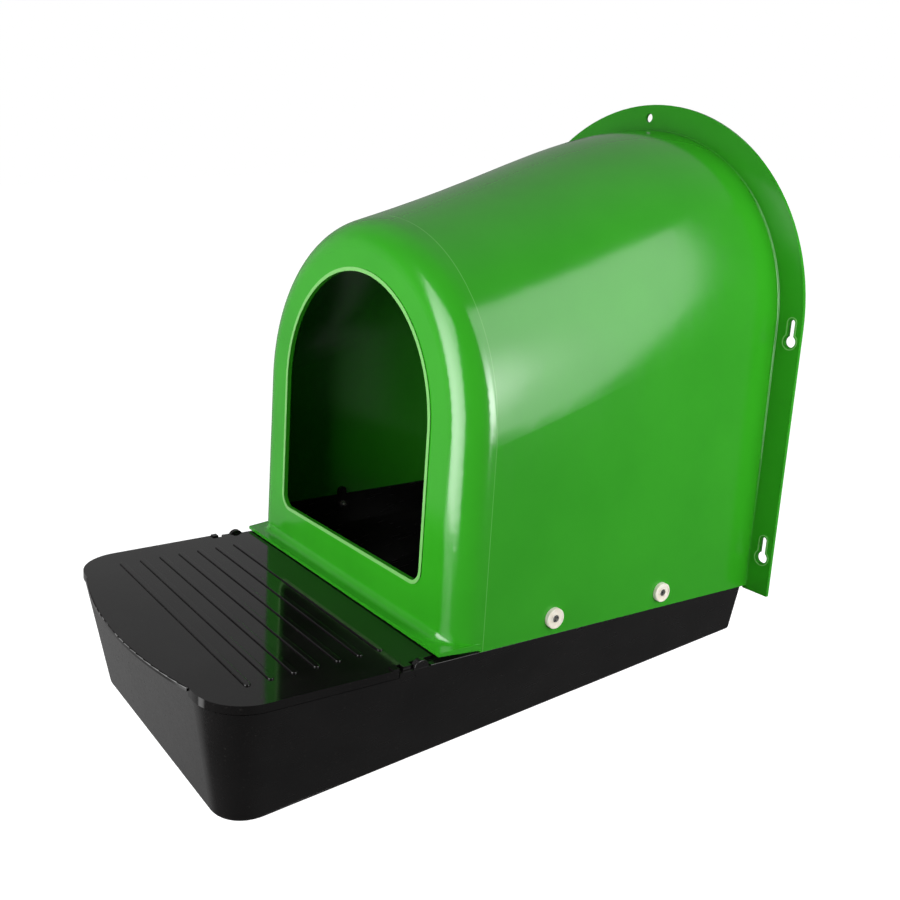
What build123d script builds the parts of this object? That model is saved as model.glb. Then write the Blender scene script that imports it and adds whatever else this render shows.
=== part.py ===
from build123d import *
import math
import os

# Chicken nest box with a roll-away egg tray under a hinged lid. Sizes are in millimetres.
# It is drawn as it hangs on a wall: x across, y from the first lid rib back to the wall,
# z up from the top of the closed lid. At the end it is tipped onto its flat underside.

# Plan that the tray, the lid and the hood share
rim_half_width = 145.2          # half width of the tray rim at y = 0
side_taper = 0.0455             # growth of the half width for each mm of depth
front_y = -33.6                 # front of the tray rim and of the lid's skirt
front_corner_radius = 37.0
wall_plane_y = 455.9            # front face of the wall flange

# Tray
tray_wall = 3.0
floor_slope = 6.56              # degrees, the nest floor falls towards the egg tray
underside_z = -96.4             # underside at y = 0
underside_half_width = 125.3    # at y = 0
underside_taper = 0.0772
underside_front_y = -15.0
underside_corner_radius = 28.0
tray_back_gap = 3.4             # from the tray's back to the wall flange
back_draft = 1.5                # the back wall leans in by this much at the underside
back_corner_radius = 4.0
underside_edge_radius = 4.0
rim_ledge_drop = 7.8            # thickness of the rim ledge
upstand_gap = 0.6               # between the hood's inside and the upstand
upstand_wall = 2.6
upstand_top_z = 21.0            # inside the hood
upstand_front_y = 172.0
rim_edge_radius = 0.5

# Hood
hood_wall = 3.0
hood_overhang = 1.0             # the hood stands out past the rim on each side
hood_front_y = 142.6
hood_bottom_z = -1.6
hood_seat_gap = 0.5             # between the rim and the hood's lower edge
front_arch_radius = 151.1
front_arch_z = 140.5
back_arch_radius = 163.3
back_arch_z = 226.2
crest_swell = 9.4               # most rise above a straight crest
crest_swell_power = 3           # higher puts it nearer the wall
barrel_shares = (0.25, 0.5, 0.75, 0.9)      # sections between the hood's face and the wall
nose_radius = 25.0              # rounding between the hood's face and its barrel

# Entrance, with a raised bead round it
entrance_half_width = 104.4
entrance_sill_z = 36.7
entrance_arch_z = 151.2
entrance_corner_radius = 11.0
bead_width = 3.0
bead_height = 0.8

# Lip at the foot of the hood's face, over the back of the lid
lip_reach = 12.0                # in front of the face
lip_tip_inset = 2.1             # the lip's ends lie inside the rim by this much
lip_depth = 22.0                # behind the face, round the nose
lip_thickness = 2.6             # at its front edge
lip_clearance = 1.0             # above the lid, at its front edge
lip_top_rise = 0.05             # for each mm of depth
lip_bottom_fall = 0.03
lip_fairing_radius = 7.0        # between the lip and the face
lip_fairing_fade = ((20, 0.5), (40, 0.15))  # angles round the nose, shares of the radius
lip_fairing_root = 1.5          # depth in the hood's wall
lip_fairing_bite = 0.02         # its edges end this far inside the wall

# Wall flange
flange_thickness = 3.0
flange_width = 23.2             # round the arch
flange_foot_half_width = 188.4
flange_drop = 3.1               # below the hood's lower edge
flange_fairing_radius = 1.2
keyhole_edge_distance = 9.2     # from the flange's side edge to the middle of a keyhole
keyhole_z = (28.0, 216.5)
keyhole_head_radius = 5.0
keyhole_slot_width = 5.0
keyhole_slot_rise = 16.0
keyhole_bead_offset = 1.2
keyhole_bead_width = 0.9
keyhole_bead_height = 0.7
top_hole_edge_distance = 11.7
top_hole_radius = 4.0

# Lid
lid_thickness = 2.6
lid_skirt_depth = 6.0
lid_skirt_gap = 0.4             # between the skirt and the rim's upstand
lid_edge_radius = 0.8
lid_seat_gap = 0.4              # between the lid and the rim
skirt_ledge_gap = 1.0           # below the skirt
lid_back_side_gap = 2.6         # beside the part of the lid that runs under the lip
lid_back_gap = 5.6              # from the lid's back edge to the hood's face
bow_radius = 400.0              # finger edge along the front
bow_reach = 14.4                # in front of the skirt
bow_half_length = 102.5
stop_tab_length = 5.0
stop_tab_width = 5.5
stop_tab_height = 1.1
arm_length = 7.0
arm_gap = 0.7                   # from an arm to the ear behind it
arm_inset = 2.6                 # from the rim's edge to an arm's end
arm_notch = 4.7                 # from the skirt's end to an arm
rib_count = 7
rib_pitch = 17.03
rib_half_length = 120.0
rib_width = 4.5
rib_height = 1.0
rib_edge_radius = 0.6

# Lid hinge
hinge_y = 116.0
hinge_z = -3.6
axle_radius = 2.5
axle_clearance = 0.05
ear_wall = 3.75
ear_inset = 0.6                 # from the rim's edge to an ear's outer face
ear_cap = 1.2                   # closes the outer end of its bore
ear_edge_radius = 0.5
hub_wall = 1.9
hub_length = 5.0
hub_side_gap = 0.4

# Fasteners that hold the hood to the tray
fastener_y = (232.0, 346.6)
fastener_z = 12.0
screw_radius = 1.5
screw_head_radius = 2.75
screw_head_height = 2.0
screw_socket_flats = 2.0
screw_socket_depth = 1.2
screw_engagement = 2.9
screw_hole_clearance = 0.2
washer_radius = 8.0
washer_thickness = 3.0
washer_recess_clearance = 0.2
washer_floor = 0.7
washer_rim_width = 1.3
washer_hub_radius = 4.0
washer_dish_depth = 0.4
washer_edge_radius = 0.5
nut_flats = 5.5
nut_hex_height = 2.4
nut_dome_radius = 2.5
nut_height = 6.0
nut_thread_clearance = 0.05
lug_wall = 3.2
lug_width = 9.0
lug_rise = 17.0                 # from the screw to the lug's round top
lug_drop = 10.0
nut_pocket_radius = 4.0         # room for the nut beside the lug
contact_gap = 0.03              # between faces that are clamped together

# Places that follow from these sizes
rim_inset = hood_wall - hood_overhang + upstand_gap
rim_z = hood_bottom_z - hood_seat_gap
lid_rim_z = -lid_thickness - lid_seat_gap
skirt_ledge_z = -lid_skirt_depth - skirt_ledge_gap
ledge_bottom_z = rim_z - rim_ledge_drop
tray_back_y = wall_plane_y - tray_back_gap
lid_skirt_wall = rim_inset - lid_skirt_gap
ear_radius = axle_radius + axle_clearance + ear_wall
lid_zone_back_y = hinge_y + ear_radius + hood_overhang
arm_back_y = hinge_y - ear_radius - arm_gap
arm_front_y = arm_back_y - arm_length
skirt_back_y = arm_front_y - arm_notch
lid_back_y = hood_front_y - lid_back_gap
lip_front_y = hood_front_y - lip_reach
lip_back_y = hood_front_y + lip_depth
nose_middle_y = hood_front_y + nose_radius
flange_radius = back_arch_radius + flange_width
flange_bottom_z = hood_bottom_z - flange_drop
top_hole_z = back_arch_z + flange_radius - top_hole_edge_distance
clamp_depth = hood_wall + upstand_gap + lug_wall
slope = math.radians(floor_slope)
far = 1000.0                    # reach of cutting tools


def half_width(y):
    """Half width of the tray rim at depth y."""
    return rim_half_width + side_taper * y


def hood_half_width(y):
    """Half width of the hood's foot at depth y."""
    return half_width(y) + hood_overhang


def lip_bottom(y):
    """Height of the lip's underside at depth y."""
    return lip_clearance - lip_bottom_fall * (y - lip_front_y)


def lip_top(y):
    """Height of the lip's top at depth y."""
    return lip_clearance + lip_thickness + lip_top_rise * (y - lip_front_y)


def tapered_outline(half_at, y0, y1, radius0, radius1, stretch=1.0):
    """Four-sided outline, wider at the back, with rounded corners."""
    corners = [(half_at(y0), y0), (half_at(y1), y1), (-half_at(y1), y1), (-half_at(y0), y0)]
    points = [(x, y * stretch) for x, y in corners]
    face = make_face(Polyline(*points, close=True).edges())
    middle = (y0 + y1) / 2 * stretch
    if radius0 > 0:
        face = fillet(face.vertices().filter_by(lambda v: v.Y < middle), radius0)
    if radius1 > 0:
        back = face.vertices().filter_by(lambda v: v.Y > y1 * stretch - 0.01)
        face = fillet(back, radius1)
    return face


def rim_outline(inset):
    """Outline of the rim, drawn in from its edge."""
    return tapered_outline(
        lambda y: half_width(y) - inset,
        front_y + inset,
        tray_back_y - inset,
        front_corner_radius - inset,
        max(back_corner_radius - inset, 1.0),
    )


def underside_outline(inset):
    """Outline of the underside, in the sloping plane it lies in."""
    return tapered_outline(
        lambda y: underside_half_width + underside_taper * y - inset,
        underside_front_y + inset,
        tray_back_y - back_draft - inset,
        underside_corner_radius - inset,
        max(back_corner_radius - inset, 1.0),
        stretch=1 / math.cos(slope),
    )


underside_plane = Plane(
    origin=(0, 0, underside_z),
    x_dir=(1, 0, 0),
    z_dir=(0, -math.sin(slope), math.cos(slope)),
)


def block(x0, x1, y0, y1, z0, z1):
    """Box between two corners."""
    return Pos((x0 + x1) / 2, (y0 + y1) / 2, (z0 + z1) / 2) * Box(x1 - x0, y1 - y0, z1 - z0)


def upright_prism(face, z0, z1):
    """Plan outline raised from z0 to z1."""
    return extrude(Pos(0, 0, z0) * face, z1 - z0)


def facing_front(face, y):
    """Outline drawn in x and z, stood up at depth y and facing the front."""
    return Plane(origin=(0, y, 0), x_dir=(1, 0, 0), z_dir=(0, -1, 0)) * face


def side_prism(points):
    """Outline drawn in y and z, widened to both sides as far as a cutting tool reaches."""
    plane = Plane(origin=(-far, 0, 0), x_dir=(0, 1, 0), z_dir=(1, 0, 0))
    return extrude(plane * make_face(Polyline(*points, close=True).edges()), 2 * far)


def arch_section(y, half, radius, centre_z, foot_z):
    """Arch on leaning sides that run down from its tangent points to the foot."""
    reach = math.hypot(half, centre_z - foot_z)
    down = math.atan2(foot_z - centre_z, half)
    angle = down + math.acos(min(radius / reach, 1.0))
    tangent = (radius * math.cos(angle), centre_z + radius * math.sin(angle))
    edges = [
        Line((half, foot_z), tangent),
        ThreePointArc(tangent, (0, centre_z + radius), (-tangent[0], tangent[1])),
        Line((-tangent[0], tangent[1]), (-half, foot_z)),
        Line((-half, foot_z), (half, foot_z)),
    ]
    return facing_front(make_face(edges), y)


def crest_rise(share):
    """Rise of the arch above a straight line, at a share of the way from the face to the wall."""
    peak = crest_swell_power / (crest_swell_power + 1)
    return crest_swell * share ** crest_swell_power * (1 - share) / (peak ** crest_swell_power * (1 - peak))


def hood_barrel(inset, y_start, y_end, nose, foot_z):
    """Solid arch that grows towards the wall, with its front edge rounded."""
    run = wall_plane_y - hood_front_y

    def section(y):
        share = (y - hood_front_y) / run
        radius = front_arch_radius + (back_arch_radius - front_arch_radius) * share - inset
        centre_z = front_arch_z + (back_arch_z - front_arch_z) * share + crest_rise(share)
        lean = (hood_half_width(y) - inset - radius) / (centre_z - hood_bottom_z)
        foot_half = hood_half_width(y) - inset + lean * (hood_bottom_z - foot_z)
        return arch_section(y, foot_half, radius, centre_z, foot_z)

    between = [hood_front_y + run * share for share in barrel_shares]
    barrel = loft([section(y) for y in (y_start, *between, y_end)])
    front = barrel.edges().filter_by(lambda e: e.center().Y < y_start + 0.01)
    front = front.filter_by(lambda e: e.center().Z > foot_z + 1)
    return fillet(front, nose)


def upright_arch(half, centre_z, foot_z):
    """Half circle on straight sides."""
    edges = [
        Line((half, foot_z), (half, centre_z)),
        ThreePointArc((half, centre_z), (0, centre_z + half), (-half, centre_z)),
        Line((-half, centre_z), (-half, foot_z)),
        Line((-half, foot_z), (half, foot_z)),
    ]
    return make_face(edges)


def entrance_outline(grow=0.0):
    """Arched entrance with rounded lower corners."""
    sill = entrance_sill_z - grow
    face = upright_arch(entrance_half_width + grow, entrance_arch_z, sill)
    low = face.vertices().filter_by(lambda v: v.Y < sill + 0.01)
    return fillet(low, entrance_corner_radius + grow)


def keyhole_x(z):
    """Distance of a keyhole from the middle plane, at a height on the flange's straight sides."""
    share = (z - flange_bottom_z) / (back_arch_z - flange_bottom_z)
    side_x = flange_foot_half_width + share * (flange_radius - flange_foot_half_width)
    return side_x - keyhole_edge_distance


def keyhole_outline(grow=0.0):
    """Round head with a narrow slot above it, centred on the head."""
    head = Circle(keyhole_head_radius + grow)
    slot_half = keyhole_slot_width / 2 + grow
    slot = Pos(0, keyhole_slot_rise / 2) * Rectangle(2 * slot_half, keyhole_slot_rise)
    tip = Pos(0, keyhole_slot_rise) * Circle(slot_half)
    return head + slot + tip


def lip_fairing_section(side, angle, radius):
    """Concave corner between the hood's wall and the lip's top, at an angle round the nose."""
    out_x, out_y = side * math.sin(math.radians(angle)), -math.cos(math.radians(angle))
    middle_x = side * (hood_half_width(nose_middle_y) - nose_radius)
    foot = radius - lip_fairing_bite
    z = lip_top(nose_middle_y + (nose_radius + foot) * out_y)
    arc_middle = (foot - radius * math.sqrt(0.5), z + radius * (1 - math.sqrt(0.5)))
    edges = [
        Line((-lip_fairing_root, z - lip_thickness / 2), (foot, z - lip_thickness / 2)),
        Line((foot, z - lip_thickness / 2), (foot, z)),
        ThreePointArc((foot, z), arc_middle, (-lip_fairing_bite, z + radius)),
        Line((-lip_fairing_bite, z + radius), (-lip_fairing_root, z + radius)),
        Line((-lip_fairing_root, z + radius), (-lip_fairing_root, z - lip_thickness / 2)),
    ]
    origin = (middle_x + nose_radius * out_x, nose_middle_y + nose_radius * out_y, 0)
    return Plane(origin=origin, x_dir=(out_x, out_y, 0), z_dir=(out_y, -out_x, 0)) * make_face(edges)


def fastener_planes(barrel):
    """One plane on each side for each screw, on the hood's wall and facing outwards."""
    planes = {}
    for side, side_name in ((1, "right"), (-1, "left")):
        for y, end_name in zip(fastener_y, ("front", "rear")):
            line = Axis((0, y, fastener_z), (side, 0, 0))
            hits = barrel.find_intersection_points(line)
            point, normal = max(hits, key=lambda hit: hit[0].X * side)
            planes[f"{side_name}_{end_name}"] = Plane(origin=point, x_dir=(0, 1, 0), z_dir=normal)
    return planes


def make_hood(planes):
    """Green hood: barrel, face with the entrance, lip and wall flange in one moulding."""
    cut_foot_z = hood_bottom_z - 30
    hood = hood_barrel(0, hood_front_y, wall_plane_y, nose_radius, cut_foot_z)

    # The foot, trimmed level with the rim, and higher beside the lip
    hood -= block(-far, far, -far, wall_plane_y, -far, hood_bottom_z)
    hood -= side_prism([
        (0, -far), (0, lip_bottom(0)), (lip_back_y, lip_bottom(lip_back_y)), (lip_back_y, -far)
    ])

    # Wall flange, an arch on straight sides
    flange_face = arch_section(
        wall_plane_y, flange_foot_half_width, flange_radius, back_arch_z, flange_bottom_z
    )
    hood += extrude(flange_face, -flange_thickness)

    # The rounded root between the barrel and the flange
    root = hood.edges().filter_by(lambda e: abs(e.center().Y - wall_plane_y) < 0.01)
    root = root.filter_by(lambda e: abs(e.center().X) < flange_radius - 5)
    top_z = back_arch_z + back_arch_radius
    root = root.filter_by(lambda e: flange_bottom_z + 5 < e.center().Z < top_z + 5)
    hood = fillet(root, flange_fairing_radius)

    # Lip, a wedge in side view, with a fairing that fades out round the nose
    tip_x = half_width(lip_front_y) - lip_tip_inset
    end_x = hood_half_width(lip_back_y)
    corners = [(tip_x, lip_front_y), (end_x, lip_back_y), (-end_x, lip_back_y), (-tip_x, lip_front_y)]
    lip_face = make_face(Polyline(*corners, close=True).edges())
    hood += upright_prism(lip_face, -lip_reach, lip_reach) & side_prism([
        (lip_front_y, lip_bottom(lip_front_y)),
        (lip_back_y, lip_bottom(lip_back_y)),
        (lip_back_y, lip_top(lip_back_y)),
        (lip_front_y, lip_top(lip_front_y)),
    ])
    straight = 2 * (hood_half_width(nose_middle_y) - nose_radius)
    hood += extrude(lip_fairing_section(1, 0, lip_fairing_radius), straight)
    for side in (-1, 1):
        steps = [(0, 1), *lip_fairing_fade]
        hood += loft([lip_fairing_section(side, turn, share * lip_fairing_radius) for turn, share in steps])

    # Bead round the entrance
    bead_face = entrance_outline(bead_width) - entrance_outline()
    hood += extrude(facing_front(bead_face, hood_front_y), bead_height)

    # The inside, open below and at the wall, then the entrance
    inner_nose = nose_radius - hood_wall
    hood -= hood_barrel(hood_wall, hood_front_y + hood_wall, wall_plane_y + 20, inner_nose, cut_foot_z)
    hood -= extrude(facing_front(entrance_outline(), hood_front_y - 20), -60)

    # Keyholes with their beads, and the top hole
    ring = keyhole_outline(keyhole_bead_offset + keyhole_bead_width)
    ring -= keyhole_outline(keyhole_bead_offset)
    for z in keyhole_z:
        for x in (-keyhole_x(z), keyhole_x(z)):
            hood += extrude(facing_front(Pos(x, z) * ring, wall_plane_y), keyhole_bead_height)
            hood -= extrude(facing_front(Pos(x, z) * keyhole_outline(), wall_plane_y - 5), -20)
    top_hole = Pos(0, top_hole_z) * Circle(top_hole_radius)
    hood -= extrude(facing_front(top_hole, wall_plane_y - 5), -20)

    for plane in planes.values():
        hood -= plane * Cylinder(screw_radius + screw_hole_clearance, 20)
    return hood


def make_tray(planes):
    """Black tray: egg tray and nest floor, rim, upstand, lugs and hinge ears in one moulding."""
    rim_face = Pos(0, 0, rim_z) * rim_outline(0)
    tray = loft([underside_plane * underside_outline(0), rim_face], ruled=True)
    low_edges = tray.faces().sort_by(Axis.Z)[0].edges()
    tray = fillet(low_edges, underside_edge_radius)

    # The inside, up to the ledge, then the opening through the rim
    inner_rim_face = Pos(0, 0, rim_z) * rim_outline(tray_wall)
    inside = loft([underside_plane * underside_outline(tray_wall), inner_rim_face], ruled=True)
    inside -= underside_plane * Pos(0, 0, tray_wall / 2) * Box(far, 2 * far, tray_wall)
    inside -= block(-far, far, -far, far, ledge_bottom_z, far)
    tray -= inside
    tray -= upright_prism(rim_outline(rim_inset + upstand_wall), ledge_bottom_z, 5)
    rim_edges = tray.edges().filter_by(lambda e: abs(e.center().Z - rim_z) < 0.01)
    rim_edges = rim_edges.filter_by(lambda e: abs(e.center().X) > half_width(e.center().Y) - 0.1)
    tray = fillet(rim_edges, rim_edge_radius)

    # The rim is lower under the lid, with a rebate for the lid's skirt
    tray -= block(-far, far, -far, lid_zone_back_y, lid_rim_z, 5)
    rebate = upright_prism(rim_outline(-10), skirt_ledge_z, 5)
    rebate -= upright_prism(rim_outline(rim_inset), -far, far)
    rebate -= block(-far, far, skirt_back_y + skirt_ledge_gap, far, -far, far)
    rebate -= block(-bow_half_length, bow_half_length, -far, 0, -far, far)
    tray -= rebate

    # Upstand inside the hood and clear of its wall, with a lug at each screw
    ring = rim_outline(rim_inset) - rim_outline(rim_inset + upstand_wall)
    upstand = upright_prism(ring, ledge_bottom_z, upstand_top_z)
    upstand -= block(-far, far, -far, upstand_front_y, -far, far)
    hood_inset = hood_wall + upstand_gap
    foot_z = ledge_bottom_z - tray_wall
    tray += upstand & hood_barrel(hood_inset, hood_front_y, wall_plane_y, nose_radius - hood_inset, foot_z)
    for plane in planes.values():
        up = 1 if plane.y_dir.Z > 0 else -1
        head = lug_rise - lug_width / 2
        body = Pos(0, up * (head - lug_drop) / 2) * Rectangle(lug_width, head + lug_drop)
        face = body + Pos(0, up * head) * Circle(lug_width / 2)
        tray += plane * Pos(0, 0, -clamp_depth) * extrude(face, lug_wall)
        tray -= plane * Pos(0, 0, -clamp_depth - 20) * Cylinder(nut_pocket_radius, 40)
        tray -= plane * Cylinder(screw_radius + screw_hole_clearance, 40)

    # Hinge ears on the rim, then the bores for the lid's axles
    ear_outer_x = half_width(hinge_y) - ear_inset
    ear_inner_x = half_width(hinge_y) - rim_inset - upstand_wall
    for side in (-1, 1):
        ear = Rot(0, 90, 0) * Cylinder(ear_radius, ear_outer_x - ear_inner_x)
        outer_edge = ear.edges().filter_by(GeomType.CIRCLE).sort_by(Axis.X)[-1 if side > 0 else 0]
        ear = fillet(outer_edge, ear_edge_radius)
        ear -= block(-far, far, -far, far, -far, ledge_bottom_z - hinge_z + 1)
        tray += Pos(side * (ear_outer_x + ear_inner_x) / 2, hinge_y, hinge_z) * ear
    bore = Rot(0, 90, 0) * Cylinder(axle_radius + axle_clearance, 2 * (ear_outer_x - ear_cap))
    return tray - Pos(0, hinge_y, hinge_z) * bore


def make_lid():
    """Black lid: ribbed plate with a skirt, finger edge, hinge arms and stub axles."""
    skirt_front = tapered_outline(half_width, front_y, skirt_back_y, front_corner_radius, 0)
    inside_x = half_width(hinge_y) - rim_inset - upstand_wall
    back_x = inside_x - lid_back_side_gap
    back = block(-back_x, back_x, 0, lid_back_y, -lid_thickness, 0)
    arm_x = half_width(arm_front_y) - arm_inset
    arms = block(-arm_x, arm_x, arm_front_y, arm_back_y, -lid_thickness, 0)
    bow_front_y = front_y - bow_reach
    bow_ends = bow_front_y + bow_radius - math.sqrt(bow_radius ** 2 - bow_half_length ** 2)
    bow_edges = [
        ThreePointArc((-bow_half_length, bow_ends), (0, bow_front_y), (bow_half_length, bow_ends)),
        Line((bow_half_length, bow_ends), (bow_half_length, 0)),
        Line((bow_half_length, 0), (-bow_half_length, 0)),
        Line((-bow_half_length, 0), (-bow_half_length, bow_ends)),
    ]
    plate = upright_prism(skirt_front + make_face(bow_edges), -lid_thickness, 0)
    top_edges = plate.edges().filter_by(lambda e: e.center().Z > -0.01)
    top_edges = top_edges.filter_by(lambda e: e.center().Y < skirt_back_y - 1)
    lid = fillet(top_edges, lid_edge_radius) + back + arms

    # Skirt along the sides and round the corners, left out behind the finger edge
    inner = tapered_outline(
        lambda y: half_width(y) - lid_skirt_wall,
        front_y + lid_skirt_wall,
        skirt_back_y + 1,
        front_corner_radius - lid_skirt_wall,
        0,
    )
    skirt = upright_prism(skirt_front - inner, -lid_skirt_depth, 0)
    lid += skirt - block(-bow_half_length, bow_half_length, -far, 0, -50, 50)

    # Raised ribs with rounded ends, and the raised tabs at the ends of the skirt
    for i in range(rib_count):
        rib_face = SlotOverall(2 * rib_half_length, rib_width)
        rib = extrude(rib_face, rib_height)
        rib = fillet(rib.faces().sort_by(Axis.Z)[-1].edges(), rib_edge_radius)
        lid += Pos(0, i * rib_pitch, 0) * rib
    tab_outer = half_width(skirt_back_y - stop_tab_length)
    for side in (-1, 1):
        x = side * (tab_outer - stop_tab_width / 2)
        y = skirt_back_y - stop_tab_length / 2
        lid += Pos(x, y, 0) * Box(stop_tab_width, stop_tab_length, 2 * stop_tab_height)

    # Hubs and stub axles
    hub_outer_x = inside_x - hub_side_gap
    axle_end_x = half_width(hinge_y) - ear_inset - ear_cap - hub_side_gap
    for side in (-1, 1):
        hub = Rot(0, 90, 0) * Cylinder(axle_radius + hub_wall, hub_length)
        hub -= block(-far, far, -far, far, -hinge_z, far)
        lid += Pos(side * (hub_outer_x - hub_length / 2), hinge_y, hinge_z) * hub
        axle = Rot(0, 90, 0) * Cylinder(axle_radius, axle_end_x - hub_outer_x + hub_length)
        lid += Pos(side * (axle_end_x + hub_outer_x - hub_length) / 2, hinge_y, hinge_z) * axle
    return lid


def make_washer():
    """Nylon washer with a raised rim, a dished face and a recess for the screw head."""
    washer = Pos(0, 0, washer_thickness / 2) * Cylinder(washer_radius, washer_thickness)
    washer = fillet(washer.edges().sort_by(Axis.Z)[-1:], washer_edge_radius)
    dish = Cylinder(washer_radius - washer_rim_width, 2 * washer_dish_depth)
    dish -= Cylinder(washer_hub_radius, far)
    washer -= Pos(0, 0, washer_thickness) * dish
    recess_radius = screw_head_radius + washer_recess_clearance
    washer -= Pos(0, 0, washer_floor + far / 2) * Cylinder(recess_radius, far)
    washer -= Cylinder(screw_radius + screw_hole_clearance, far)
    return Pos(0, 0, contact_gap) * washer


def make_screw():
    """Low-head socket screw, its head's underside on the washer's floor."""
    seat = washer_floor + 2 * contact_gap
    tip = -clamp_depth - screw_engagement
    head = Pos(0, 0, seat + screw_head_height / 2) * Cylinder(screw_head_radius, screw_head_height)
    shank = Pos(0, 0, (seat + tip) / 2) * Cylinder(screw_radius, seat - tip)
    socket = RegularPolygon(screw_socket_flats / 2, 6, major_radius=False)
    cut = Pos(0, 0, seat + screw_head_height - screw_socket_depth) * extrude(socket, screw_head_height)
    return head + shank - cut


def make_cap_nut():
    """Domed nut on the inner face of the tray's lug."""
    hexagon = extrude(RegularPolygon(nut_flats / 2, 6, major_radius=False), -nut_hex_height)
    neck = nut_height - nut_hex_height - nut_dome_radius
    barrel = Pos(0, 0, -nut_hex_height - neck / 2) * Cylinder(nut_dome_radius, neck)
    dome = Pos(0, 0, -nut_hex_height - neck) * Sphere(nut_dome_radius)
    bore_depth = screw_engagement + 4 * contact_gap
    bore = Pos(0, 0, -bore_depth / 2) * Cylinder(screw_radius + nut_thread_clearance, bore_depth)
    return Pos(0, 0, -clamp_depth - contact_gap) * (hexagon + barrel + dome - bore)


def make_parts():
    """All pieces, in the frame of the hung box."""
    barrel = hood_barrel(0, hood_front_y, wall_plane_y, nose_radius, hood_bottom_z - 30)
    planes = fastener_planes(barrel)
    parts = {"hood": make_hood(planes), "tray": make_tray(planes), "lid": make_lid()}
    for name, plane in planes.items():
        parts[f"screw_{name}"] = plane * make_screw()
        parts[f"nylon_washer_{name}"] = plane * make_washer()
        parts[f"cap_nut_{name}"] = plane * make_cap_nut()
    return parts


def stand_up(parts):
    """Tip the hung box onto its underside, centred over the origin."""
    tipped = {name: Rot(-floor_slope, 0, 0) * part for name, part in parts.items()}
    boxes = [part.bounding_box() for part in tipped.values()]
    middle_y = (min(b.min.Y for b in boxes) + max(b.max.Y for b in boxes)) / 2
    low_z = min(b.min.Z for b in boxes)
    return {name: Pos(0, -middle_y, -low_z) * part for name, part in tipped.items()}


parts = stand_up(make_parts())
os.makedirs("parts", exist_ok=True)
for name, part in parts.items():
    export_step(part, f"parts/{name}.step")
    print(name, len(part.solids()), round(part.volume))
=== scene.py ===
import math

import bpy
from mathutils import Matrix, Vector

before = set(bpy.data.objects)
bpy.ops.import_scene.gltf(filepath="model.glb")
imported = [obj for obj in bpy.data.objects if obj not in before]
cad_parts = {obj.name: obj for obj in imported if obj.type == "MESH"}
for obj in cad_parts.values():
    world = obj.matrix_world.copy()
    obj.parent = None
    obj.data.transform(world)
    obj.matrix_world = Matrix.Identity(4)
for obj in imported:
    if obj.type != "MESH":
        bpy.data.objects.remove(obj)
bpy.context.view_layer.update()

# Chicken nest box with a green hood over a black tray, and a ribbed lid over the egg tray.
# Places are in metres in the frame's own axes, with the egg tray towards -Y.

MM = 0.001

# The box stands on its underside here, turned by the slope of its floor from how it hangs
HANG_TURN = math.radians(6.56)
HUNG_BACK = (0, math.cos(HANG_TURN), -math.sin(HANG_TURN))  # from the hood's face to the wall
HUNG_UP = (0, math.sin(HANG_TURN), math.cos(HANG_TURN))

# Camera, where the photograph was taken from
CAMERA_PLACE = Vector((0.6361, -0.448226, 0.432991))
CAMERA_TURN = 54.45             # degrees to the left of the +Y axis
CAMERA_TILT = -15.45            # degrees above the horizon
CAMERA_ROLL = -1.84             # degrees
CAMERA_LENS = 38.53             # mm, on the sensor width below
CAMERA_SENSOR = 36              # mm
CAMERA_SHIFT = (0.0252, -0.0539)
CAMERA_NEAREST, CAMERA_FURTHEST = 0.01, 50  # metres that it sees between

# Floor and dome of the studio. Glow is relative to white.
FLOOR_ALBEDO = 0.3
FLOOR_GLOW = 1.0
FLOOR_DROP = 0.2 * MM           # below the box's underside, so that the two share no plane
FLOOR_SIDES = 96
DOME_RADIUS = 12.0
DOME_SEGMENTS, DOME_RINGS = 64, 32
DOME_ALBEDO = 0.0
DOME_GLOW = 1.0

# Glowing panels, out of the camera's view. across and up are a panel's half sizes as vectors, and
# hot is its brightest place, counted in these half sizes. The glow falls from peak there to the
# share that edge gives, at a distance of reach.
SOFTBOXES = {
    "softbox_right": {
        "middle": (0.82, 0.42, 0.56), "across": (0, 0.34, 0), "up": (-0.26, 0, 0.56),
        "peak": 12.5, "edge": 0.19, "hot": (-0.65, -0.35), "reach": 0.85,
    },
    "softbox_front": {
        "middle": (0.06, -0.65, 0.48), "across": (0.27, 0, 0), "up": (0, 0, 0.44),
        "peak": 7.2, "edge": 0.45, "hot": (-0.2, -0.6), "reach": 1.6,
    },
    # Small bright lamp high in front, which adds only a little to the lid's ribs and edges
    "glint": {
        "middle": (0.35, -0.95, 0.95), "across": (0.08, 0, 0), "up": (0, -0.06, 0.06),
        "peak": 35.0, "edge": 0.1, "hot": (0, 0), "reach": 1.0,
    },
}

# Black card that stands in for the wall behind the open back, also out of the camera's view
FLAG_MIDDLE = (0, 0.33, 0.23)
FLAG_SIZE = (0.36, 0.44)
FLAG_ALBEDO = 0.01

# Dim room, which the glossy mouldings reflect: an even glow, and lighter patches that fade from
# their inner to their outer angle. Angles are in degrees, and azimuth is from -Y towards +X.
ROOM_EVEN_GLOW = 0.09
ROOM_PATCHES = (                # azimuth, elevation, inner angle, outer angle, strength
    (-68, -12, 15, 40, 0.26),
    (-31, -19, 4, 11, 1.8),
    (-130, 35, 20, 70, 0.22),
    (130, -40, 20, 60, 0.04),
)

# Colours of the mouldings and the metal
GREEN = "2F9A1B"
GREEN_DEEP = "2B9418"
GREEN_PAINTED_HIGHLIGHT = "8FCB7C"           # painted highlight on the mould line and on the raised beads
BLACK = "0B0A0A"
BLACK_WORN = "131212"
DUST = "3A3835"
NYLON = "F0ECE2"
NYLON_WARM = "E9E0CC"
STEEL = "B4B7BC"
STEEL_WARM = "C2BDAE"

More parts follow.
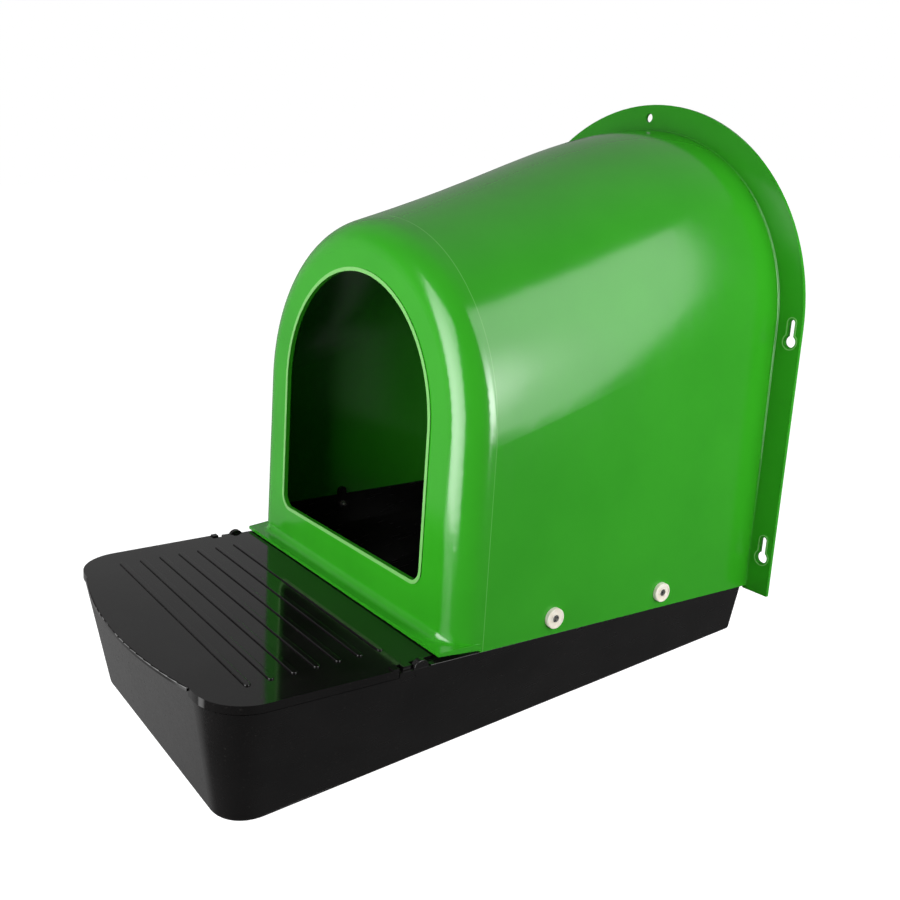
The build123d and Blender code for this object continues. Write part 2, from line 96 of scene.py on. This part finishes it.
# How the materials bend and mirror light
POLYPROPYLENE_IOR = 1.5
NYLON_IOR = 1.53
HOOD_MIRRORING = 0.8            # above the usual 0.5, for the hood's glossier moulding

# Mould line right round the barrel, found by its place along HUNG_BACK and painted pale as the
# highlight it catches
MOULD_LINE_PLACE = -0.0702
MOULD_LINE_WIDTH = 0.45 * MM    # on each side
MOULD_LINE_HIGHLIGHT_SHARE = 0.35         # of the pale green of the painted highlight

# Raised beads, found by what stands in front of the hood's face and of the wall flange, with a
# painted highlight on them
ENTRANCE_BEAD_PLACE = -0.0948   # along HUNG_BACK, 0.4 mm in front of the hood's face
ENTRANCE_BEAD_FOOT = 0.098      # along HUNG_UP, above the lip
FLANGE_BEAD_PLACE = 0.2186      # along HUNG_BACK, 0.3 mm in front of the wall flange
FLANGE_BEAD_SIDE = 0.1695       # along X, outside the barrel
BEAD_STEP = 0.1 * MM            # over which the painted highlight comes in
BEAD_HIGHLIGHT_SHARE = 0.6                # of the pale green of the painted highlight

# Grey values of a noise pattern that count as its low and its high end
PATTERN_LOW, PATTERN_HIGH = 0.3, 0.7
SPECK_LOW, SPECK_HIGH = 0.76, 0.82  # only the rare peaks, for specks
SPECK_SHARE = 0.25              # of the dust's colour
DUST_PATTERN_MM = 1.6

# The Mix node has sockets of the same names for each kind of value, so those for colours go by
# their number
MIX_SHARE, MIX_FIRST, MIX_SECOND, MIX_COLOUR = 0, 6, 7, 2


def linear(hex_colour):
    """Linear RGBA of an sRGB hex colour."""
    channels = [int(hex_colour[i:i + 2], 16) / 255 for i in (0, 2, 4)]
    return (*[c / 12.92 if c <= 0.04045 else ((c + 0.055) / 1.055) ** 2.4 for c in channels], 1.0)


def add_node(owner, kind, settings=None, inputs=None, links=None):
    """A node with its settings, input values and links. A link is a node and its output's name."""
    tree = owner.node_tree
    node = tree.nodes.new(kind)
    for name, value in (settings or {}).items():
        setattr(node, name, value)
    for name, value in (inputs or {}).items():
        node.inputs[name].default_value = value
    for name, (source, output) in (links or {}).items():
        tree.links.new(source.outputs[output], node.inputs[name])
    return node


def new_material(name):
    """A material with no nodes yet."""
    material = bpy.data.materials.new(name)
    material.use_nodes = True
    material.node_tree.nodes.clear()
    return material


def finish_surface(material, inputs, links=None):
    """Ends a material with its shader, from plain values and from the patterns made for it."""
    shader = add_node(material, "ShaderNodeBsdfPrincipled", inputs=inputs, links=links)
    add_node(material, "ShaderNodeOutputMaterial", links={"Surface": (shader, "BSDF")})
    return material


def piece_place(material, stretch=None):
    """Place on the piece in metres, stretched where streaks run one way."""
    place = add_node(material, "ShaderNodeTexCoord")
    if stretch is None:
        return place, "Object"
    place = add_node(
        material, "ShaderNodeVectorMath", {"operation": "MULTIPLY"},
        {1: stretch}, {0: (place, "Object")},
    )
    return place, "Vector"


def drifting_colour(material, place, patch_mm, detail, first, second):
    """Colour that drifts between two shades, in patches of about patch_mm."""
    patches = add_node(
        material, "ShaderNodeTexNoise",
        inputs={"Scale": 1 / (patch_mm * MM), "Detail": detail}, links={"Vector": place},
    )
    share = add_node(
        material, "ShaderNodeMapRange",
        inputs={"From Min": PATTERN_LOW, "From Max": PATTERN_HIGH, "To Min": 0, "To Max": 1},
        links={"Value": (patches, "Fac")},
    )
    colour = add_node(
        material, "ShaderNodeMix", {"data_type": "RGBA"},
        {MIX_FIRST: linear(first), MIX_SECOND: linear(second)}, {MIX_SHARE: (share, "Result")},
    )
    return colour, MIX_COLOUR


def uneven_gloss(material, place, patch_mm, detail, smoothest, roughest):
    """Roughness that varies between two values, in patches of about patch_mm."""
    patches = add_node(
        material, "ShaderNodeTexNoise",
        inputs={"Scale": 1 / (patch_mm * MM), "Detail": detail}, links={"Vector": place},
    )
    gloss = add_node(
        material, "ShaderNodeMapRange",
        inputs={
            "From Min": PATTERN_LOW, "From Max": PATTERN_HIGH,
            "To Min": smoothest, "To Max": roughest,
        },
        links={"Value": (patches, "Fac")},
    )
    return gloss, "Result"


def ripple(material, place, size_mm, detail, height_mm, earlier=None):
    """Small waves or grain of about size_mm, on top of an earlier ripple."""
    pattern = add_node(
        material, "ShaderNodeTexNoise",
        inputs={"Scale": 1 / (size_mm * MM), "Detail": detail}, links={"Vector": place},
    )
    links = {"Height": (pattern, "Fac")}
    if earlier is not None:
        links["Normal"] = earlier
    relief = add_node(
        material, "ShaderNodeBump",
        inputs={"Strength": 1.0, "Distance": height_mm * MM}, links=links,
    )
    return relief, "Normal"


def with_mould_line_highlight(material, back, colour):
    """Pale line where two parts of the mould met, right round the barrel: a painted highlight
    along it.
    """
    away = add_node(
        material, "ShaderNodeMath", {"operation": "SUBTRACT"}, {1: MOULD_LINE_PLACE}, {0: back}
    )
    away = add_node(
        material, "ShaderNodeMath", {"operation": "ABSOLUTE"}, links={0: (away, "Value")}
    )
    line = add_node(
        material, "ShaderNodeMapRange",
        inputs={
            "From Min": 0, "From Max": MOULD_LINE_WIDTH,
            "To Min": MOULD_LINE_HIGHLIGHT_SHARE, "To Max": 0,
        },
        links={"Value": (away, "Value")},
    )
    colour = add_node(
        material, "ShaderNodeMix", {"data_type": "RGBA"}, {MIX_SECOND: linear(GREEN_PAINTED_HIGHLIGHT)},
        {MIX_SHARE: (line, "Result"), MIX_FIRST: colour},
    )
    return colour, MIX_COLOUR


def with_bead_highlights(material, place, back, colour):
    """Painted highlight on the raised beads round the entrance and the keyholes, pale green on
    top.
    """
    up = add_node(
        material, "ShaderNodeVectorMath", {"operation": "DOT_PRODUCT"}, {1: HUNG_UP}, {0: place}
    )
    axes = add_node(material, "ShaderNodeSeparateXYZ", links={"Vector": place})
    side = add_node(
        material, "ShaderNodeMath", {"operation": "ABSOLUTE"}, links={0: (axes, "X")}
    )
    beads = []
    for front, beyond, edge in (
        (ENTRANCE_BEAD_PLACE, up, ENTRANCE_BEAD_FOOT),
        (FLANGE_BEAD_PLACE, side, FLANGE_BEAD_SIDE),
    ):
        raised = add_node(
            material, "ShaderNodeMapRange",
            inputs={"From Min": front - BEAD_STEP, "From Max": front, "To Min": 1, "To Max": 0},
            links={"Value": back},
        )
        outside = add_node(
            material, "ShaderNodeMapRange",
            inputs={"From Min": edge, "From Max": edge + BEAD_STEP, "To Min": 0, "To Max": 1},
            links={"Value": (beyond, "Value")},
        )
        beads.append(add_node(
            material, "ShaderNodeMath", {"operation": "MULTIPLY"},
            links={0: (raised, "Result"), 1: (outside, "Result")},
        ))
    entrance_bead, flange_bead = beads
    bead = add_node(
        material, "ShaderNodeMath", {"operation": "MAXIMUM"},
        links={0: (entrance_bead, "Value"), 1: (flange_bead, "Value")},
    )
    share = add_node(
        material, "ShaderNodeMath", {"operation": "MULTIPLY"}, {1: BEAD_HIGHLIGHT_SHARE},
        {0: (bead, "Value")},
    )
    colour = add_node(
        material, "ShaderNodeMix", {"data_type": "RGBA"}, {MIX_SECOND: linear(GREEN_PAINTED_HIGHLIGHT)},
        {MIX_SHARE: (share, "Value"), MIX_FIRST: colour},
    )
    return colour, MIX_COLOUR


def green_plastic():
    """Injection moulded glossy polypropylene of the hood."""
    material = new_material("green_polypropylene_injection_moulded")
    place = piece_place(material)
    back = add_node(
        material, "ShaderNodeVectorMath", {"operation": "DOT_PRODUCT"},
        {1: HUNG_BACK}, {0: place},
    ), "Value"
    # Slow differences in pigment, which keep the large green faces from looking painted
    colour = drifting_colour(
        material, place, patch_mm=70, detail=3, first=GREEN, second=GREEN_DEEP
    )
    # Mould line right round the barrel, painted pale as its highlight
    colour = with_mould_line_highlight(material, back, colour)
    # Painted highlight on the raised beads round the entrance and the keyholes
    colour = with_bead_highlights(material, place, back, colour)
    # Faint drag marks from leaving the mould run up the hood and streak the highlights. Real ones
    # are hairlines, and they are drawn 5 mm wide to show in the picture.
    up_the_hood = piece_place(material, stretch=(1, 1, 0.03))
    gloss = uneven_gloss(
        material, up_the_hood, patch_mm=5, detail=2, smoothest=0.15, roughest=0.19
    )
    # Slow waves of a thick moulding bend the reflections a little
    waves = ripple(material, place, size_mm=22, detail=1, height_mm=0.015)
    # Fine mould texture, drawn at 2.5 mm because real 0.3 mm grain is too fine for the picture
    grain = ripple(material, place, size_mm=2.5, detail=2, height_mm=0.006, earlier=waves)
    return finish_surface(
        material, {"IOR": POLYPROPYLENE_IOR, "Specular IOR Level": HOOD_MIRRORING},
        {"Base Color": colour, "Roughness": gloss, "Normal": grain},
    )


def black_plastic(name, smoothest, roughest, grain_mm, grain_height_mm):
    """Black polypropylene, with worn patches, hair scuffs and a few pale specks of dust."""
    material = new_material(name)
    place = piece_place(material)
    # Greyer worn patches, which show that the black is plastic and not a void
    colour = drifting_colour(
        material, place, patch_mm=45, detail=4, first=BLACK, second=BLACK_WORN
    )
    # Dust, the peaks of its pattern, drawn as specks of about 1 mm because real dust is too fine
    # for the picture
    dust = add_node(
        material, "ShaderNodeTexNoise", links={"Vector": place},
        inputs={"Scale": 1 / (DUST_PATTERN_MM * MM), "Detail": 0},
    )
    speck = add_node(
        material, "ShaderNodeMapRange",
        inputs={
            "From Min": SPECK_LOW, "From Max": SPECK_HIGH, "To Min": 0, "To Max": SPECK_SHARE,
        },
        links={"Value": (dust, "Fac")},
    )
    dusty = add_node(
        material, "ShaderNodeMix", {"data_type": "RGBA"}, {MIX_SECOND: linear(DUST)},
        {MIX_SHARE: (speck, "Result"), MIX_FIRST: colour},
    )
    # Hair scuffs from front to back change the gloss in thin streaks, drawn 2.2 mm wide because
    # real ones are too fine for the picture
    front_to_back = piece_place(material, stretch=(1, 0.08, 1))
    gloss = uneven_gloss(
        material, front_to_back, patch_mm=2.2, detail=3, smoothest=smoothest, roughest=roughest
    )
    # Unevenness of the moulded surface, which breaks up the reflections
    grain = ripple(material, place, size_mm=grain_mm, detail=2, height_mm=grain_height_mm)
    return finish_surface(
        material, {"IOR": POLYPROPYLENE_IOR},
        {"Base Color": (dusty, MIX_COLOUR), "Roughness": gloss, "Normal": grain},
    )


def nylon():
    """Natural nylon of the washers, cream and a little waxy."""
    material = new_material("natural_nylon_injection_moulded")
    place = piece_place(material)
    # Cloudy cream, yellower in places, which gives the waxy look of undyed nylon
    colour = drifting_colour(
        material, place, patch_mm=4, detail=3, first=NYLON, second=NYLON_WARM
    )
    gloss = uneven_gloss(
        material, place, patch_mm=4, detail=3, smoothest=0.38, roughest=0.52
    )
    # Grain that takes the hard shine off the rims, drawn at 0.9 mm because it is finer in truth
    grain = ripple(material, place, size_mm=0.9, detail=2, height_mm=0.008)
    return finish_surface(
        material, {"IOR": NYLON_IOR},
        {"Base Color": colour, "Roughness": gloss, "Normal": grain},
    )


def zinc_steel():
    """Zinc plated steel of the screws and cap nuts."""
    material = new_material("steel_zinc_electroplated")
    place = piece_place(material)
    # Plating that is bluish in places and yellowish in others
    colour = drifting_colour(
        material, place, patch_mm=2.5, detail=3, first=STEEL, second=STEEL_WARM
    )
    # Uneven gloss of small plated heads
    gloss = uneven_gloss(
        material, place, patch_mm=2.5, detail=3, smoothest=0.22, roughest=0.4
    )
    # Pitting of the plating, drawn at 0.6 mm because it is finer in truth
    grain = ripple(material, place, size_mm=0.6, detail=2, height_mm=0.006)
    return finish_surface(
        material, {"Metallic": 1.0},
        {"Base Color": colour, "Roughness": gloss, "Normal": grain},
    )


def paint_pieces():
    """Gives each piece of the box its material."""
    steel = zinc_steel()
    finishes = {
        "hood": green_plastic(),
        # Fine grain of the tray, drawn at 3 mm because the real one is too fine for the picture
        "tray": black_plastic(
            "black_polypropylene_tray_moulded", smoothest=0.2, roughest=0.28,
            grain_mm=3.0, grain_height_mm=0.004,
        ),
        # Slow waves of the polished lid, which bend its mirror images
        "lid": black_plastic(
            "black_polypropylene_lid_polished", smoothest=0.06, roughest=0.1,
            grain_mm=14.0, grain_height_mm=0.006,
        ),
        "nylon_washer": nylon(),
        "screw": steel,
        "cap_nut": steel,
    }
    for name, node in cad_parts.items():
        kind = next(key for key in finishes if name.startswith(key))
        node.data.materials.clear()
        node.data.materials.append(finishes[kind])


def stage_material(name, albedo, glow):
    """Matt sheet of the studio, which may glow so that it stays white in the picture."""
    return finish_surface(new_material(name), {
        "Base Color": (albedo, albedo, albedo, 1), "Roughness": 1.0,
        "Emission Color": (1, 1, 1, 1), "Emission Strength": glow,
    })


def show_to(stage_object, camera, light):
    """Whether the camera sees it, and whether reflections, bounced light and shadows do."""
    stage_object.visible_camera = camera
    stage_object.visible_diffuse = light
    stage_object.visible_glossy = light
    stage_object.visible_shadow = light


def add_floor():
    """Plain pale floor and a dome round it."""
    bpy.ops.mesh.primitive_circle_add(
        vertices=FLOOR_SIDES, radius=DOME_RADIUS, fill_type="NGON", location=(0, 0, -FLOOR_DROP)
    )
    floor = bpy.context.object
    floor.name = "studio_floor"
    floor.data.materials.append(stage_material("studio_floor_white", FLOOR_ALBEDO, FLOOR_GLOW))
    show_to(floor, camera=True, light=False)
    bpy.ops.mesh.primitive_uv_sphere_add(
        segments=DOME_SEGMENTS, ring_count=DOME_RINGS, radius=DOME_RADIUS
    )
    dome = bpy.context.object
    dome.name = "studio_dome"
    dome.data.materials.append(stage_material("studio_dome_white", DOME_ALBEDO, DOME_GLOW))
    show_to(dome, camera=True, light=False)


def add_world():
    """Dim room round the object, lighter towards the named directions."""
    world = bpy.data.worlds.new("studio")
    bpy.context.scene.world = world
    world.use_nodes = True
    background = world.node_tree.nodes["Background"]
    background.inputs["Color"].default_value = (1, 1, 1, 1)
    place = add_node(world, "ShaderNodeTexCoord")
    total = None
    for azimuth, elevation, inner, outer, strength in ROOM_PATCHES:
        turn, rise = math.radians(azimuth), math.radians(elevation)
        towards = (
            math.sin(turn) * math.cos(rise), -math.cos(turn) * math.cos(rise), math.sin(rise)
        )
        near = add_node(
            world, "ShaderNodeVectorMath", {"operation": "DOT_PRODUCT"},
            {1: towards}, {0: (place, "Generated")},
        )
        lobe = add_node(
            world, "ShaderNodeMapRange", {"interpolation_type": "SMOOTHSTEP"},
            {
                "From Min": math.cos(math.radians(outer)),
                "From Max": math.cos(math.radians(inner)),
                "To Min": 0,
                "To Max": strength,
            },
            {"Value": (near, "Value")},
        )
        inputs, links = {1: ROOM_EVEN_GLOW}, {0: (lobe, "Result")}
        if total is not None:
            inputs, links = {}, {0: (total, "Value"), 1: (lobe, "Result")}
        total = add_node(world, "ShaderNodeMath", {"operation": "ADD"}, inputs, links)
    world.node_tree.links.new(total.outputs["Value"], background.inputs["Strength"])


def add_softbox(name, middle, across, up, peak, edge, hot, reach):
    """Glowing panel, as the list of softboxes describes it."""
    across, up = Vector(across), Vector(up)
    bpy.ops.mesh.primitive_plane_add(size=2)
    panel = bpy.context.object
    panel.name = name
    # The panel's own axes, across it, up it and out of it
    columns = Matrix((across, up, across.cross(up).normalized())).transposed()
    panel.matrix_world = Matrix.Translation(Vector(middle)) @ columns.to_4x4()
    material = new_material(name)
    place = add_node(material, "ShaderNodeTexCoord")
    offset = add_node(
        material, "ShaderNodeVectorMath", {"operation": "DISTANCE"},
        {1: (*hot, 0)}, {0: (place, "Object")},
    )
    fade = add_node(
        material, "ShaderNodeMapRange", {"interpolation_type": "SMOOTHSTEP"},
        {"From Min": 0, "From Max": reach, "To Min": peak, "To Max": peak * edge},
        {"Value": (offset, "Value")},
    )
    glow = add_node(material, "ShaderNodeEmission", links={"Strength": (fade, "Result")})
    add_node(material, "ShaderNodeOutputMaterial", links={"Surface": (glow, "Emission")})
    panel.data.materials.append(material)
    show_to(panel, camera=False, light=True)


def add_flag():
    """Black card behind the open back."""
    bpy.ops.mesh.primitive_plane_add(size=1)
    card = bpy.context.object
    card.name = "studio_flag"
    turn = Matrix.Rotation(math.radians(90), 4, "X")
    size = Matrix.Diagonal((*FLAG_SIZE, 1, 1))
    card.matrix_world = Matrix.Translation(Vector(FLAG_MIDDLE)) @ turn @ size
    card.data.materials.append(stage_material("studio_flag_black", FLAG_ALBEDO, glow=0))
    show_to(card, camera=False, light=True)


def add_camera():
    """Camera at the photograph's viewing angle."""
    data = bpy.data.cameras.new("photo_camera")
    data.sensor_width = CAMERA_SENSOR
    data.lens = CAMERA_LENS
    data.shift_x, data.shift_y = CAMERA_SHIFT
    data.clip_start = CAMERA_NEAREST
    data.clip_end = CAMERA_FURTHEST
    camera = bpy.data.objects.new("photo_camera", data)
    bpy.context.scene.collection.objects.link(camera)
    turn = Matrix.Rotation(math.radians(CAMERA_TURN), 4, "Z")
    tilt = Matrix.Rotation(math.radians(90 + CAMERA_TILT), 4, "X")
    roll = Matrix.Rotation(math.radians(CAMERA_ROLL), 4, "Z")
    camera.matrix_world = Matrix.Translation(CAMERA_PLACE) @ turn @ tilt @ roll
    bpy.context.scene.camera = camera


bpy.context.scene.view_settings.view_transform = "Standard"
paint_pieces()
add_floor()
add_world()
for softbox_name, softbox in SOFTBOXES.items():
    add_softbox(softbox_name, **softbox)
add_flag()
add_camera()
